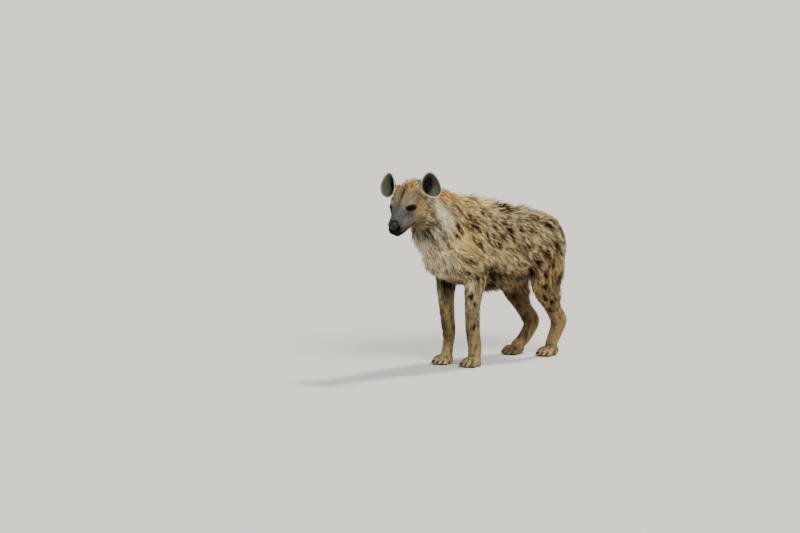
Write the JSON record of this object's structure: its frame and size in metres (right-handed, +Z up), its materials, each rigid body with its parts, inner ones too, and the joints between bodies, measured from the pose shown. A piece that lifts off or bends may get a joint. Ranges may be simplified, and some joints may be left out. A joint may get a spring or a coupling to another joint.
{
  "type": "spotted hyena",
  "caption": "Life-size still model of a standing spotted hyena with raised head, sloping back, short mane, shaggy spotted coat, rounded ears and a hanging black-tipped tail.",
  "frame": {"origin": "on the floor under the middle of the whole animal's bounding box", "axes": "+X the way the animal's trunk faces, +Y to its left, +Z up"},
  "size_m": [1.3418, 0.3518, 1.0039],
  "materials": {
    "coat": "coarse tawny fur with dark brown spots",
    "mane": "longer orange-tawny hair",
    "leg": "short brown fur",
    "face": "short grey-brown fur",
    "tail_brush": "long blackish hair",
    "ear": "thin dark fur, pale at the rim",
    "nose": "moist black pebbled skin",
    "eye": "glossy dark brown",
    "claw": "dull dark horn"
  },
  "bodies": {
    "root": {"torso": "coat", "neck": "mane", "head": "face", "nose": "nose", "tail": "tail_brush", "ear_left": "ear", "ear_right": "ear", "eye_left": "eye", "eye_right": "eye", "forearm_left": "leg", "forearm_right": "leg", "thigh_left": "coat", "thigh_right": "coat", "shank_left": "leg", "shank_right": "leg", "paw_fore_left": "leg", "paw_fore_right": "leg", "paw_hind_left": "leg", "paw_hind_right": "leg", "claw_fore_left_1": "claw", "claw_fore_left_2": "claw", "claw_fore_left_3": "claw", "claw_fore_left_4": "claw", "claw_hind_left_1": "claw", "claw_hind_left_2": "claw", "claw_hind_left_3": "claw", "claw_hind_left_4": "claw", "claw_fore_right_1": "claw", "claw_fore_right_2": "claw", "claw_fore_right_3": "claw", "claw_fore_right_4": "claw", "claw_hind_right_1": "claw", "claw_hind_right_2": "claw", "claw_hind_right_3": "claw", "claw_hind_right_4": "claw"}
  },
  "joints": []
}
